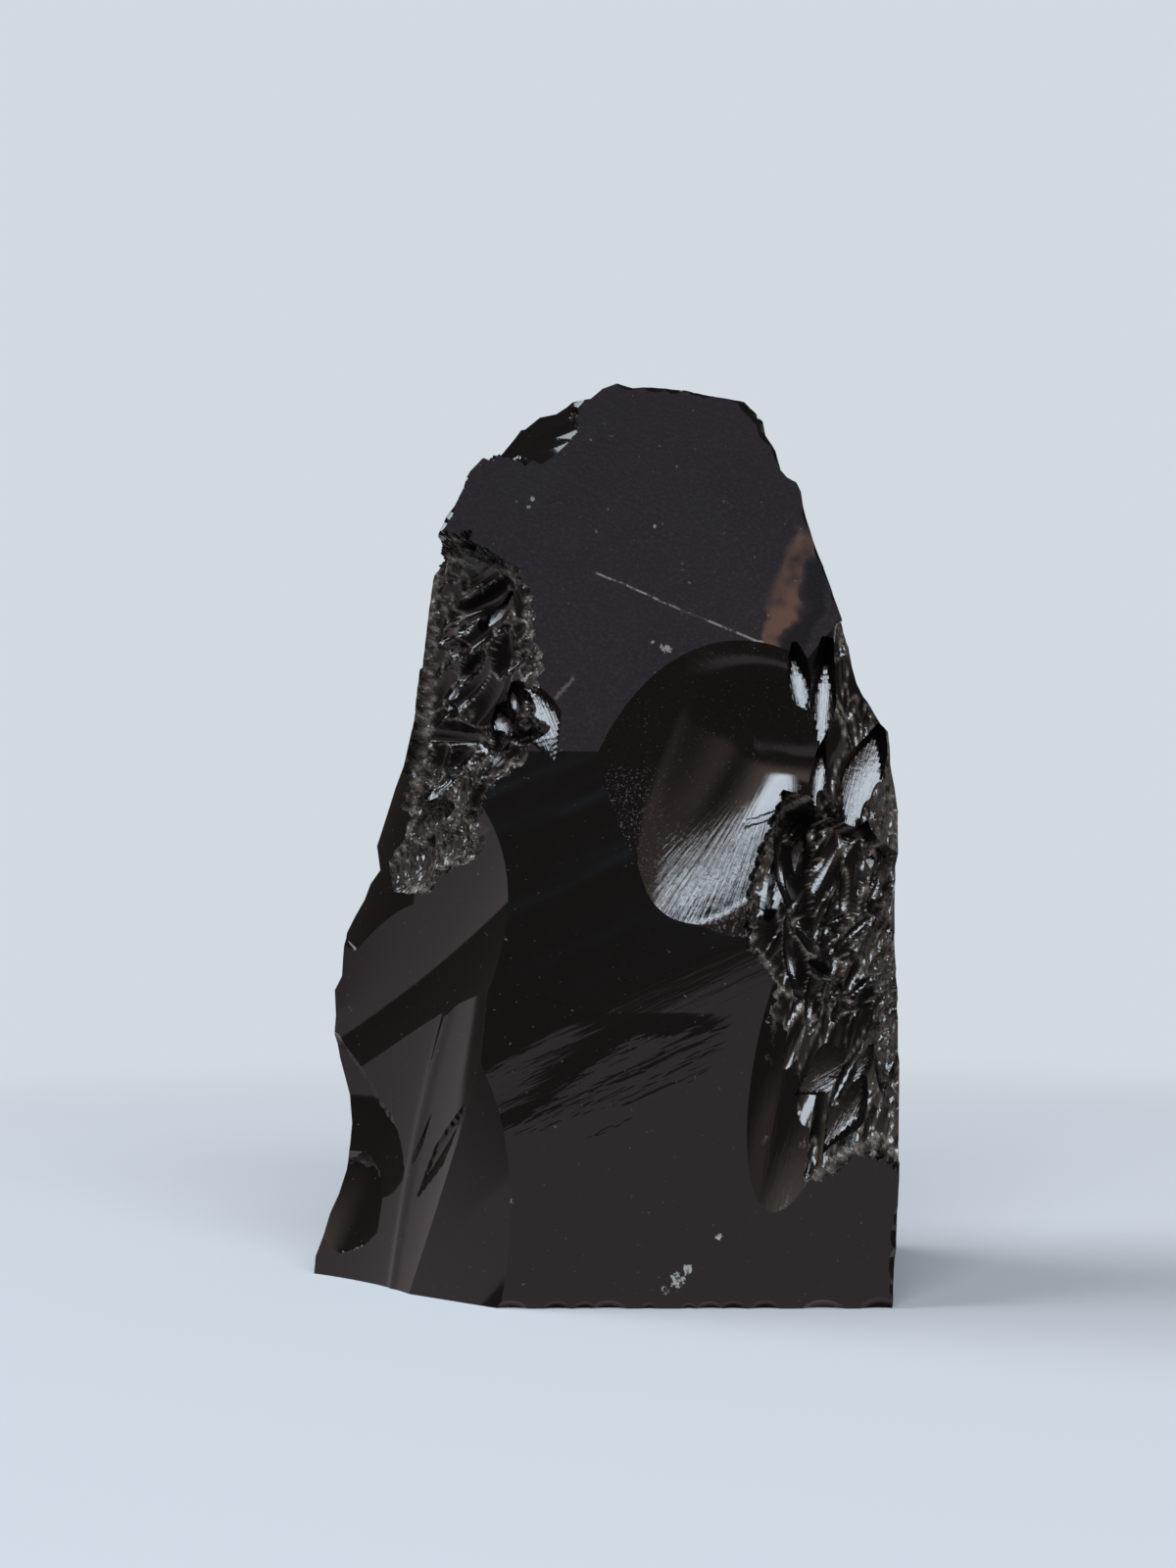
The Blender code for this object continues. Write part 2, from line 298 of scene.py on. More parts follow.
def flake(name, scar):
    """A closed block whose underside is the scar's skin, standing in its place on the lump."""
    place = place_of(scar)
    bm = bmesh.new()
    for layer in ("edge", "crack"):
        bm.loops.layers.uv.new(layer)
    edge_map, crack = (bm.loops.layers.uv[layer] for layer in ("edge", "crack"))
    bmesh.ops.create_grid(
        bm,
        x_segments=max(2, round(2 * scar.half_length / scar.step)),
        y_segments=max(2, round(2 * scar.half_width / scar.step)),
        size=1.0,
    )
    u = np.array([vertex.co.x for vertex in bm.verts]) * scar.half_length
    v = np.array([vertex.co.y for vertex in bm.verts]) * scar.half_width
    height = skin(scar, u, v)
    if scar.dish:
        height = dished(height, u, v, place, scar.dish)
    if scar.strike:
        away = np.hypot(u - scar.strike[0], v - scar.strike[1])
        turned = np.arctan2(v - scar.strike[1], u - scar.strike[0]) * scar.half_length
    else:
        away, turned = u, v
    if scar.ripple:
        rings = np.sin(away * 2 * math.pi / scar.ripple.spacing)
        height = height + scar.ripple.height * rings * np.exp(-away / scar.ripple.reach)
    next_up = height + NONE_ABOVE
    for crush in scar.crush:
        height, next_up = flaked(height, next_up, u, v, scar, place, crush)
    nearness = np.exp(-np.maximum(0.0, next_up - height) / EDGE_WIDTH)
    if scar.outline:
        x, z = turned_into(np.array(place), u, v, height, (0, 2))
        outside = beyond(x, z, scar.outline)
        if scar.crush:
            outside = outside + ragged(x, z)
            nearness = np.maximum(nearness, np.exp(-np.abs(outside) / CRUMBLED))
        height = height + EDGE_STEEPNESS * np.maximum(0.0, outside)
    if scar.leaf:
        reach = 2.0 * u / scar.leaf.length
        tip = (1.0 - np.abs(reach) ** LEAF_BLUNTNESS) * (1.0 - LEAF_TAPER * reach)
        height = height + LEAF_STEEPNESS * np.maximum(0.0, np.abs(v) - scar.leaf.width / 2 * tip)
    for index, vertex in enumerate(bm.verts):
        vertex.co = (u[index], v[index], height[index])
    for face in bm.faces:
        for loop in face.loops:
            loop[crack].uv = (away[loop.vert.index] / 10, turned[loop.vert.index] / 10)
            loop[edge_map].uv = (nearness[loop.vert.index], 0.0)
    rim = [edge for edge in bm.edges if edge.is_boundary]
    wall = bmesh.ops.extrude_edge_only(bm, edges=rim)["geom"]
    for vertex in wall:
        if isinstance(vertex, bmesh.types.BMVert):
            vertex.co.z = height.max() + CUTTER_HEIGHT
    bmesh.ops.contextual_create(bm, geom=[edge for edge in wall if isinstance(edge, bmesh.types.BMEdge)])
    bmesh.ops.recalc_face_normals(bm, faces=bm.faces)
    mesh = bpy.data.meshes.new(name)
    bm.to_mesh(mesh)
    bm.free()
    mesh.transform(place)
    mesh.materials.append(bpy.data.materials.new(name))
    return placed(name, mesh)


# %% [markdown]
# ## The names of the finishes
# A scar carries its finish with it, so the finishes are named before the first scar. What they look
# like is told further down.

# %% The names of the finishes
FINISHES = {
    name: bpy.data.materials.new(f"{name}_glass")
    for name in ("sawn", "satin", "broad", "scoop", "scar", "leaf", "crushed")
}

# %% [markdown]
# ## The broad scars
# These give the lump its planes: the satin upper face, the broad glassy face under the ridge, the
# scoop struck from the right with a deeper bowl in it, and the scars at the left. Each line is a point
# on the scar, the way that it faces, the way that the crack ran, how far it reaches, its radii along
# and across the run, and the step of its grid.

# %% The broad scars
DISH = Scar(
    "scoop", (12, 2.8, 50.1), (0.006, -1, 0.172), (-0.49, 0, -0.87), 22, 12, FLAT, 12.5,
    toe=Toe(-0.15, 37.7), heel=Toe(9.5, 9.0),
)
CUP = (
    (-32.6, 26.4), (-30.6, 26.6), (-30.0, 25.6), (-29.1, 24.5), (-27.9, 23.1), (-26.9, 21.8), (-25.5, 19.5),
    (-24.1, 18.0), (-23.4, 15.8), (-23.0, 13.5), (-23.3, 12.1), (-24.3, 10.6), (-25.5, 9.3), (-26.2, 7.8),
    (-31.4, 6.7), (-34.0, 6.0), (-34.0, 16.9),
)
FOOT_CUP = (
    (-34.0, 12.1), (-29.9, 13.2), (-27.0, 12.8), (-26.0, 11.5), (-25.7, 9.2), (-26.3, 5.8), (-28.1, 3.9),
    (-29.9, 3.0), (-33.4, 1.9), (-37.0, 1.9), (-37.0, 11.0),
)
CHIP = (
    (-14.9, 92.9), (-13.2, 92.3), (-11.1, 92.4), (-8.4, 91.6), (-5.7, 91.6), (-4.3, 93.2), (-3.6, 95.9),
    (-4.6, 97.8), (-5.2, 103.0), (-18.0, 100.0), (-15.6, 94.2),
)
SCARS = {
    "matte_face": Scar("satin", (2, 1.89, 78), (0, -1, LEAN), (0, 0, -1), 60, 60, FLAT, FLAT, 60),
    "broad_face": Scar("broad", (2, 0.02, 30), (0, -1, 0), (-0.91, 0, -0.42), 75, 75, FLAT, FLAT, 75),
    "scoop": Scar(
        "scoop", (6.6, 0.95, 58.9), (0.08, -1, 0.03), (0.04, 0, -1), 28, 21, 249, 95, 0.4,
        strike=(-4.0, 14.0), dish=DISH,
    ),
    "scar_a": Scar(
        "scar", (-18.6, 9.8, 37.7), (-0.75, -0.66, 0), (0.55, -0.62, 0.57), 24, 16, 120, 18, 0.7,
        strike=(-30.0, 0.0),
    ),
    "scar_b": Scar(
        "scar", (-15.6, 1.8, 20.8), (-0.917, -0.377, 0.127), (-0.24, 0.27, -0.93), 30, 22, 442, 33, 0.5,
        fold=Fold(-9.6, 0.0, 0.006, 0.2, 0.6),
    ),
    "scar_c": Scar(
        "scar", (-26.4, 19.1, 15.5), (-0.71, -0.67, 0.18), (-0.18, 0.09, -0.98), 16, 14, 45, 30, 0.4,
        outline=CUP,
    ),
    "foot_cup": Scar(
        "scar", (-27.6, 20.3, 7.5), (-0.66, -0.68, 0.28), (-0.2, 0.1, -1), 12, 10, 70, 14, 0.4,
        outline=FOOT_CUP,
    ),
    "scar_d": Scar(
        "scar", (-15.8, 3.7, 10.3), (-0.6, -0.8, -0.05), (0.69, -0.56, 0.46), 18, 14, -170, 56, 1.0,
    ),
    "left_facet": Scar(
        "scar", (-22.4, 13.2, 60.3), (-0.9, -0.44, 0.05), (-0.21, 0.34, -0.92), 24, 10, 112, -20, 1.0,
    ),
    "left_bump": Scar("scar", (-29.0, 15.5, 39), (-0.8, -0.56, -0.12), (0, 0, -1), 4, 4, 9, 6, 0.4),
    "left_nick": Scar("scar", (-30.4, 17.5, 30.6), (-0.8, -0.5, 0.22), (0, 0, -1), 3.4, 3, 7, 5, 0.4),
}
print(len(SCARS), "broad scars at the front")

# %% [markdown]
# ## The unseen sides
# The back, the sides and the top are knapped too. Their large bowls are made up. The solid has the
# same ones, but for the one at the right foot.

# %% The unseen sides
SIDES = {
    "back_upper": ((3, 31, 72), (0.1, 0.9, 0.42), (0.2, 0, -1), 60, 50, 130, 60, 1.5),
    "back_lower": ((-4, 43, 22), (-0.12, 1, 0.06), (1, 0, -0.3), 60, 50, 110, 120, 1.5),
    "back_right": ((26, 37, 36), (0.66, 0.74, 0.12), (0, 0, -1), 60, 30, 90, 40, 1.5),
    "back_left": ((-21, 33, 46), (-0.62, 0.76, 0.2), (0, 0.3, -1), 60, 30, 80, 34, 1.5),
    "right_neck": ((23.5, 17, 74), (0.88, 0.28, 0.38), (0, 0.4, -1), 26, 16, 70, 26, 1.2),
    "right_hip": ((30.4, 24, 47), (0.97, 0.2, 0.1), (0, 0.2, -1), 22, 18, 90, 60, 1.5),
    "right_foot": ((30.2, 30, 19), (0.99, 0.06, 0.05), (0, 0.3, -1), 24, 18, 100, 40, 1.2),
    "top_right": ((13, 14, 94), (0.62, 0.42, 0.66), (0.3, 1, -0.5), 24, 14, 60, 24, 1.2),
    "top": ((-1, 15, 93.5), (-0.1, 0.5, 0.86), (0, 1, -0.6), 26, 16, 50, 36, 1.2),
    "top_left": ((-13, 14, 86), (-0.72, 0.3, 0.62), (-0.3, 0.8, -0.4), 24, 18, 60, 30, 1.2),
    "left_side": ((-21.5, 25, 66), (-0.93, 0.3, 0.2), (0, 0.3, -1), 24, 14, 80, 26, 1.2),
    "left_foot": ((-31.5, 32, 12), (-0.92, 0.36, 0.12), (0, 0.3, -1), 26, 12, 60, 24, 1.2),
}
for name, measures in SIDES.items():
    SCARS[name] = Scar("scar", *measures)
print(len(SIDES), "scars at the sides, the back and the top")

# %% [markdown]
# ## Two late flakes
# A chip at the upper left corner, and a narrow flake beside the crushed zone at the right.

# %% Two late flakes
SCARS["top_left_chip"] = Scar(
    "scar", (-8.8, 5.3, 94.0), (-0.3, -0.85, 0.46), (0.9, -0.3, -0.3), 10, 8, 60, 36, 0.25,
    outline=CHIP, crush=(Crush(31, 12, 4, 1.6, 0.08, 0.3, 0.5, 0.03, 0.8),),
)
SCARS["right_leaf"] = Scar(
    "crushed", (18.9, 1.9, 22), (0.10, -0.99, 0.06), (-0.2, 0, -0.98), 20, 8, 70, 6, 0.4,
)
print(len(SCARS), "broad scars in all")

# %% [markdown]
# ## The crushed zones
# Where a blow lands badly, the glass shatters into splinters instead of one flake. Both sides of the
# front have such a zone. Its skin is broken by flakes in three sizes, the largest first.

# %% The crushed zones
FINE = 0.25
RIGHT_ZONE = (
    (18.8, 75.0), (24.1, 75.2), (26.0, 71.0), (36.0, 71.0), (36.0, 16.0), (31.0, 16.2), (29.2, 18.2),
    (27.1, 17.2), (24.8, 16.4), (23.4, 14.8), (21.3, 13.8), (19.9, 11.1), (18.6, 9.5), (17.1, 11.6),
    (14.9, 15.3), (15.3, 21.7), (16.0, 24.9), (16.5, 29.1), (17.3, 32.3), (18.1, 34.4), (17.1, 36.5),
    (15.2, 39.1), (15.3, 43.4), (16.5, 48.1), (18.7, 53.4), (20.0, 59.2), (19.3, 63.0), (18.2, 67.2),
    (18.4, 71.5),
)
LEFT_ZONE = (
    (-19.2, 80.9), (-17.3, 81.6), (-12.6, 80.3), (-10.5, 79.7), (-8.6, 77.9), (-8.4, 72.6), (-7.2, 69.4),
    (-8.1, 67.2), (-7.6, 63.5), (-5.5, 60.9), (-7.6, 59.6), (-11.6, 58.2), (-13.5, 56.1), (-14.7, 51.1),
    (-13.2, 49.9), (-13.4, 49.0), (-15.9, 48.0), (-19.3, 47.3), (-19.5, 45.4), (-21.5, 44.5), (-24.4, 43.5),
    (-26.5, 44.7), (-25.3, 46.2), (-24.2, 47.9), (-22.0, 53.4), (-21.1, 58.8), (-20.4, 62.5), (-20.1, 67.4),
    (-19.5, 80.4),
)
ZONES = {
    "left_slope": Scar(
        "crushed", (-15.2, 4.5, 65.1), (-0.56, -0.83, 0.08), (0.26, -0.19, -0.95), 21, 19, 40, -26,
        FINE, outline=LEFT_ZONE, crush=(
            Crush(3, 45, 10, 3.4, 0.9, 1.9, 0.25, 0.35, 0.0),
            Crush(13, 80, 5, 1.5, 0.4, 1.9, 0.3, 0.5, 0.4),
            Crush(23, 110, 2.2, 0.8, 0.25, 1.9, 0.6, 0.8, 0.4),
        ),
    ),
    "right_lower": Scar(
        "crushed", (26, 4, 27), (0.18, -0.97, 0.12), (-0.3, 0, -1), 19, 14, 30, 24, FINE,
        outline=RIGHT_ZONE, crush=(
            Crush(6, 14, 17, 3.8, 0.9, 0.0, 0.12, 0.22, 0.0),
            Crush(16, 18, 7, 1.3, 0.35, 0.0, 0.2, 0.35, 0.5),
            Crush(26, 24, 2, 0.7, 0.2, 0.0, 0.6, 0.6, 0.5),
        ),
    ),
    "right_middle": Scar(
        "crushed", (21.6, 4.6, 40.1), (0.4, -0.89, 0.23), (0.84, 0.25, -0.48), 15, 12, 137, 26,
        FINE, outline=RIGHT_ZONE, crush=(
            Crush(5, 26, 10, 2.8, 0.9, -1.41, 0.2, 0.4, 0.0),
            Crush(15, 44, 4.5, 1.2, 0.4, -1.41, 0.3, 0.5, 0.5),
            Crush(25, 40, 2, 0.7, 0.25, -1.41, 0.6, 0.7, 0.5),
        ),
    ),
    "right_upper": Scar(
        "crushed", (24, 3.2, 62), (0.36, -0.92, -0.02), (0, 0, -1), 18, 12, 45, 60, FINE,
        outline=RIGHT_ZONE, crush=(
            Crush(4, 26, 11, 2.6, 0.9, 0.0, 0.12, 0.35, 0.0),
            Crush(14, 40, 5, 1.1, 0.35, 0.0, 0.2, 0.5, 0.5),
            Crush(24, 36, 2, 0.7, 0.25, 0.0, 0.6, 0.7, 0.5),
        ),
    ),
}

# %% [markdown]
# ## The splinters that catch the light
# The largest splinter scars are placed one by one. Each is a narrow bowl, given by its middle, the way
# that it faces, the way that it runs, its length, its width and its depth. EVEN ripples do not fade.

# %% The splinters that catch the light
LIT = (0.04, -0.96, 0.28)
FINEST, COARSEST = 0.1, 0.3
EVEN = 1e6


def splinter(at, facing, run, length, width, depth, finish="leaf", ripple=None):
    """A bowl whose rim, on flat glass, is this long and wide; its grid reaches a little further."""
    along, across = (length / 2) ** 2 / (2 * depth), (width / 2) ** 2 / (2 * depth)
    step = max(FINEST, min(COARSEST, width / 10))
    return Scar(
        finish, at, facing, run, 0.6 * length, 0.9 * width, along, across, step, ripple=ripple,
        leaf=Leaf(length, width),
    )


LEAVES = {
    "leaf_ribbed": ((20.5, 2.9, 66.6), LIT, (0.15, 0, -1), 8.0, 2.2, 0.25),
    "leaf_long": ((23.2, 4.3, 64.6), (-0.02, -0.96, 0.27), (-0.06, 0, -1), 11.5, 2.3, 0.3),
    "leaf_second": ((22.7, 4.6, 56.1), LIT, (-0.12, 0, -1), 8.0, 1.8, 0.25),
    "leaf_panel": ((27.4, 6.4, 56.2), (0.10, -0.96, 0.25), (-0.3, 0, -0.95), 12.5, 4.6, 0.35),
    "leaf_inner": ((19.6, 8.9, 46.3), (-0.1, -0.96, 0.24), (-0.35, 0, -0.93), 10.0, 3.0, 0.45),
    "facet_low": ((28.0, 7.6, 47.2), (0.1, -0.94, 0.32), (1, 0, 0.15), 6.0, 3.4, 0.2),
    "facet_high": ((27.0, 7.2, 50.0), (0.3, -0.93, 0.2), (0.4, 0, 1), 4.0, 2.6, 0.2),
    "leaf_swirl": ((24.4, 6.4, 44.5), (0.1, -0.97, 0.2), (-0.6, 0, -0.8), 6.0, 2.8, 0.3),
    "sheen_hatched": ((24.3, 4.6, 25.4), (0.24, -0.96, 0.09), (-0.87, 0.1, -0.49), 10.5, 6.0, 0.5),
    "sheen_smooth": ((25.2, 4.3, 20.7), (0.2, -0.97, 0.12), (-0.5, 0, -0.86), 9.5, 3.6, 0.4),
    "wedge": ((-18.6, 7.5, 15.4), (-0.86, -0.46, 0.17), (-0.39, 0.52, -0.76), 15.5, 2.8, 0.25, "scar"),
    "dark_line": ((-22.0, 11.6, 14.2), (-0.82, -0.52, 0.2), (-0.3, 0.4, -1), 12.0, 0.9, 0.12, "scar"),
    "spark_upper": ((-11.8, 8.4, 62.6), (-0.1, -0.95, 0.29), (0.3, 0, -1), 4.4, 2.4, 0.3),
    "spark_lower": ((-12.7, 9.0, 59.2), (-0.1, -0.96, 0.27), (0.7, 0, 0.7), 4.0, 2.0, 0.3),
    "spark_side": ((-10.6, 5.2, 65.2), LIT, (0.1, 0, -1), 3.4, 1.2, 0.2),
    "spark_top": ((-12.4, 9.0, 75.0), (-0.1, -0.96, 0.27), (-0.6, 0, -0.8), 4.6, 1.8, 0.3),
    "spark_rim": ((-17.6, 9.8, 66.4), (-0.1, -0.95, 0.29), (-0.4, 0, -0.9), 3.6, 1.4, 0.2),
    "shell": (
        (-7.8, 1.5, 63.0), (0.02, -0.95, 0.3), (0.35, 0, -0.94), 9.8, 4.6, 0.35, "leaf",
        Ripple(0.55, 0.02, EVEN),
    ),
}
SPLINTERS = {name: splinter(*measures) for name, measures in LEAVES.items()}
print(len(SPLINTERS), "placed splinters")

# %% [markdown]
# ## Chips along the edges
# The thin edges of the upper face and the front of the base have lost small chips. Each edge is given
# by its two ends, and by how many chips it has lost.

# %% Chips along the edges
EDGES = (
    ((-4.1, 98.4), (-13.9, 93.5), 9),
    ((-15.5, 90.8), (-18.8, 83.8), 6),
    ((20.2, 89.5), (14.6, 98.4), 9),
    ((14.6, 98.4), (0.7, 100.4), 6),
    ((24.3, 76.6), (20.9, 86.9), 5),
    ((30.4, 0.3), (-12.0, 0.3), 12),
    ((30.4, 2.0), (31.3, 16.0), 6),
)
CHIP_SIZES = (0.5, 1.9)


def chips():
    """Small scars along the front edges, each leaning out over its edge."""
    chance = random.Random(8)
    for (x0, z0), (x1, z1), count in EDGES:
        outward = vec(z0 - z1, 0, x1 - x0).normalized()
        middle = vec((x0 + x1) / 2, 0, (z0 + z1) / 2 - HEIGHT / 2)
        if outward.dot(middle) < 0:
            outward.negate()
        for index in range(count):
            share = (index + chance.uniform(0.1, 0.9)) / count
            size = chance.uniform(*CHIP_SIZES)
            x, z = x0 + (x1 - x0) * share, z0 + (z1 - z0) * share
            at = vec(x, matte_depth(z) + 0.32 * size, z) - outward * 0.1 * size
            facing = outward * chance.uniform(0.5, 1) + vec(0, -1, 0)
            run = vec(x1 - x0, 0, z1 - z0)
            yield Scar("scar", at, facing, run, 2 * size, 1.5 * size, 2 * size, size, size / 3)


CHIPS = {f"chip_{index}": scar for index, scar in enumerate(chips())}
print(len(CHIPS), "chips")

# %% [markdown]
# ## Taking the flakes off
# Each flake is a Boolean difference. The exact solver carries the finish and both maps of the flake's
# skin over to the scar. Afterwards the ridges between scars are marked sharp. What no flake has
# touched is satin, and the base is sawn.

# %% Taking the flakes off
SHARP = math.radians(24)
BASE_NORMAL = -0.9
NEGLIGIBLE = 1e-6


def knapped(lump, scars):
    """The lump with every one of these flakes taken off, as one mesh in metres at the solid's place."""
    lump.data.materials.append(bpy.data.materials.new("block"))
    flakes = [flake(name, scar) for name, scar in scars.items()]
    for piece in flakes:
        cut = lump.modifiers.new(piece.name, "BOOLEAN")
        cut.object = piece
        cut.operation = "DIFFERENCE"
        cut.solver = "EXACT"
        cut.material_mode = "TRANSFER"
    graph = bpy.context.evaluated_depsgraph_get()
    mesh = bpy.data.meshes.new_from_object(lump.evaluated_get(graph))
    for piece in [lump, *flakes]:
        bpy.data.objects.remove(piece, do_unlink=True)
    mesh.transform(Matrix.Scale(MM, 4) @ Matrix.Translation(vec(-MIDDLE, -THICKNESS / 2, 0)))
    return mesh


def finished(mesh, scars):
    """The lump with sharp ridges between its scars, and with each scar's finish."""
    scar_of_slot = [material.name for material in mesh.materials]
    kinds = list(FINISHES)
    bm = bmesh.new()
    bm.from_mesh(mesh)
    mesh.materials.clear()
    for material in FINISHES.values():
        mesh.materials.append(material)
    bmesh.ops.dissolve_degenerate(bm, edges=bm.edges, dist=NEGLIGIBLE)
    for face in bm.faces:
        face.smooth = True
    for edge in bm.edges:
        slots = {face.material_index for face in edge.link_faces}
        edge.smooth = len(slots) == 1 and edge.calc_face_angle(0.0) < SHARP
    for face in bm.faces:
        name = scar_of_slot[face.material_index]
        untouched = "sawn" if face.normal.z < BASE_NORMAL else "satin"
        finish = scars[name].finish if name in scars else untouched
        face.material_index = kinds.index(finish)
    bm.to_mesh(mesh)
    bm.free()
    return mesh


ALL_SCARS = SCARS | CHIPS | SPLINTERS | ZONES
glass = finished(knapped(block(), ALL_SCARS), ALL_SCARS)
chunk = placed("chunk", glass)
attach(chunk, "root")
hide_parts("obsidian_chunk")
print("the lump has", len(glass.polygons), "faces and", len(glass.materials), "finishes")

# %% [markdown]
# ## Shader maths as expressions
# A small class wraps a socket, so that a mask can be written as a sum. Every other node comes from
# one function, which takes the node's type without its common first part, its settings, and what goes
# into its sockets.

# %% Shader maths as expressions
class Value:
    """A node socket that can be used in an expression."""

    def __init__(self, tree, socket):
        self.tree, self.socket = tree, socket

    def math(self, operation, *others):
        return node(self.tree, "Math", {"operation": operation}, [self, *others])

    def output(self, index):
        """Another output of the same node."""
        return Value(self.tree, self.socket.node.outputs[index])

    def __add__(self, other):
        return self.math("ADD", other)

    __radd__ = __add__

    def __sub__(self, other):
        return self.math("SUBTRACT", other)

    def __rsub__(self, other):
        return node(self.tree, "Math", {"operation": "SUBTRACT"}, [other, self])

    def __mul__(self, other):
        return self.math("MULTIPLY", other)

    __rmul__ = __mul__

    def clamped(self):
        return node(self.tree, "Math", {"operation": "ADD", "use_clamp": True}, [self, 0.0])

    def over(self, low, high):
        """0 below low, 1 above high, and a smooth step between."""
        smooth = {"interpolation_type": "SMOOTHSTEP"}
        return node(self.tree, "MapRange", smooth, [self, low, high, 0.0, 1.0])


def node(tree, kind, settings=None, values=(), output=0):
    """A new node: its settings, then its input sockets' values or links, and one output back."""
    made = tree.nodes.new("ShaderNode" + kind)
    for name, setting in (settings or {}).items():
        setattr(made, name, setting)
    pairs = values.items() if isinstance(values, dict) else enumerate(values)
    for key, value in pairs:
        if isinstance(value, Value):
            tree.links.new(value.socket, made.inputs[key])
        elif value is not None:
            made.inputs[key].default_value = value
    return Value(tree, made.outputs[output]) if made.outputs else None


def mixed(factor, first, second):
    """Two colours mixed by a factor."""
    return node(factor.tree, "Mix", {"data_type": "RGBA"}, {0: factor, 6: first, 7: second}, output=2)


def separated(vector):
    """The three numbers of a vector."""
    first = node(vector.tree, "SeparateXYZ", {}, [vector])
    return first, first.output(1), first.output(2)


def vector_math(operation, first, *others):
    return node(first.tree, "VectorMath", {"operation": operation}, [first, *others])


def scaled(vector, factor):
    return node(vector.tree, "VectorMath", {"operation": "SCALE"}, {0: vector, "Scale": factor})


def noise(place, scale, detail=2.0, roughness=0.6):
    sockets = {"Vector": place, "Scale": scale, "Detail": detail, "Roughness": roughness}
    return node(place.tree, "TexNoise", {}, sockets)


print("helpers: colours, vectors and noise")

# %% [markdown]
# ## Black glass
# Obsidian is clear glass with a dust of black crystals in it, so light hardly gets in: nearly all that
# is seen is what its surface mirrors. Its own colour is a brown-black, and its gloss comes from the
# refractive index of 1.5.

# %% Black glass
BLACK = (0.0045, 0.0036, 0.0034, 1.0)
DUST = (0.09, 0.082, 0.075, 1.0)
IOR = 1.5
for material in FINISHES.values():
    material.use_nodes = True


def coordinates(tree):
    return node(tree, "TexCoord", output="Object")


def glass_finish(material, roughness, colour, bump=None, normal=None, mirroring=0.5):
    """Fills a finish's node tree. Colour and roughness may be expressions; mirroring 0.5 is clean glass."""
    tree = material.node_tree
    shader = tree.nodes["Principled BSDF"]
    shader.inputs["IOR"].default_value = IOR
    shader.inputs["Specular IOR Level"].default_value = mirroring
    for name, value in (("Base Color", colour), ("Roughness", roughness)):
        if isinstance(value, Value):
            tree.links.new(value.socket, shader.inputs[name])
        else:
            shader.inputs[name].default_value = value
    if bump is not None:
        sockets = {"Strength": 1.0, "Distance": 1.0, "Height": bump, "Normal": normal}
        raised = node(tree, "Bump", {}, sockets)
        tree.links.new(raised.socket, shader.inputs["Normal"])
    elif normal is not None:
        tree.links.new(normal.socket, shader.inputs["Normal"])


# %% [markdown]
# ## Marks on the glass
# Every finish draws its marks with the same few tools: streaks that follow the crack map, a soft band
# between two values, a line between two places on the front, and round spots. Places are in metres.

# %% Marks on the glass
def streaks(along, across, scale_along, scale_across, detail=3.0, seed=0.0):
    """Noise drawn out along the crack."""
    place = node(along.tree, "CombineXYZ", {}, [along * scale_along, across * scale_across, seed])
    return noise(place, 1.0, detail)


def crack_map(tree):
    """The distance along the crack and the place across it, in centimetres."""
    along, across, _ = separated(node(tree, "UVMap", {"uv_map": "crack"}))
    return along, across


def place_parts(tree):
    """The place on the lump: the whole vector, the way to the right, and the height, in metres."""
    here = coordinates(tree)
    right, _, height = separated(here)
    return here, right, height


def between(value, low, high, soft):
    """1 between low and high, fading over a soft distance outside."""
    return value.over(low - soft, low) * (1.0 - value.over(high, high + soft))


def stroke(right, height, start, end, wobble=0.0):
    """How far a point is from a line on the front, how far along it, and the line's length, in metres."""
    (x0, z0), (x1, z1) = start, end
    length = math.hypot(x1 - x0, z1 - z0)
    dx, dz = (x1 - x0) / length, (z1 - z0) / length
    from_x, from_z = right - x0, height - z0
    off = from_x * dz - from_z * dx + wobble
    return off, from_x * dx + from_z * dz, length


def pits(right, height, spots, grain):
    """Small bruises at the given places, each with a ragged edge."""
    mask = None
    for x, z, radius in spots:
        away = ((right - x).math("POWER", 2.0) + (height - z).math("POWER", 2.0)).math("SQRT")
        one = 1.0 - (away + grain * (4.0 * radius)).over(2.6 * radius, 3.0 * radius)
        mask = one if mask is None else mask.math("MAXIMUM", one)
    return mask


print("marks: streaks, bands, strokes and pits")

# %% [markdown]
# ## The broad glassy face
# The face is nearly a mirror. Faint hackles run along the crack, and a few broad waves near the middle
# carry the mirrored edge of the floor up and down, so it ends in dark brush strokes. A bump of some
# hundredths of a millimetre is enough for that. Dust, and a few bruises at the foot, sit on top.

# %% The broad glassy face
BLUISH = (0.0065, 0.0075, 0.0085, 1.0)
BRUISE = (0.30, 0.28, 0.26, 1.0)
FOOT_BRUISES = (
    (0.0127, 0.0078, 0.0003), (0.0094, 0.0042, 0.0006), (0.0082, 0.0030, 0.0007),
    (0.0068, 0.0020, 0.0004), (-0.0099, 0.0116, 0.0003), (-0.0102, 0.0098, 0.0002),
)
tree = FINISHES["broad"].node_tree
along, across = crack_map(tree)
here, right, height = place_parts(tree)
fringed = between(height, 0.019, 0.029, 0.003) * between(right, -0.014, 0.010, 0.006)
hackle = streaks(along, across, 0.35, 6.0, 4.0)
islands = streaks(along, across, 0.45, 2.3, 4.0, 21.0)
clusters = streaks(along, across, 0.3, 0.9, 1.0, 51.0).over(0.40, 0.56)
ghost = streaks(along, across, 0.3, 2.5, 2.0, 33.0).over(0.48, 0.75) * height.over(0.032, 0.045)
bruises = pits(right, height, FOOT_BRUISES, noise(here, 2500.0))
specks = noise(here, 1700.0).over(0.70, 0.74)
colour = mixed(specks * 0.5, mixed(ghost, BLACK, BLUISH), DUST)
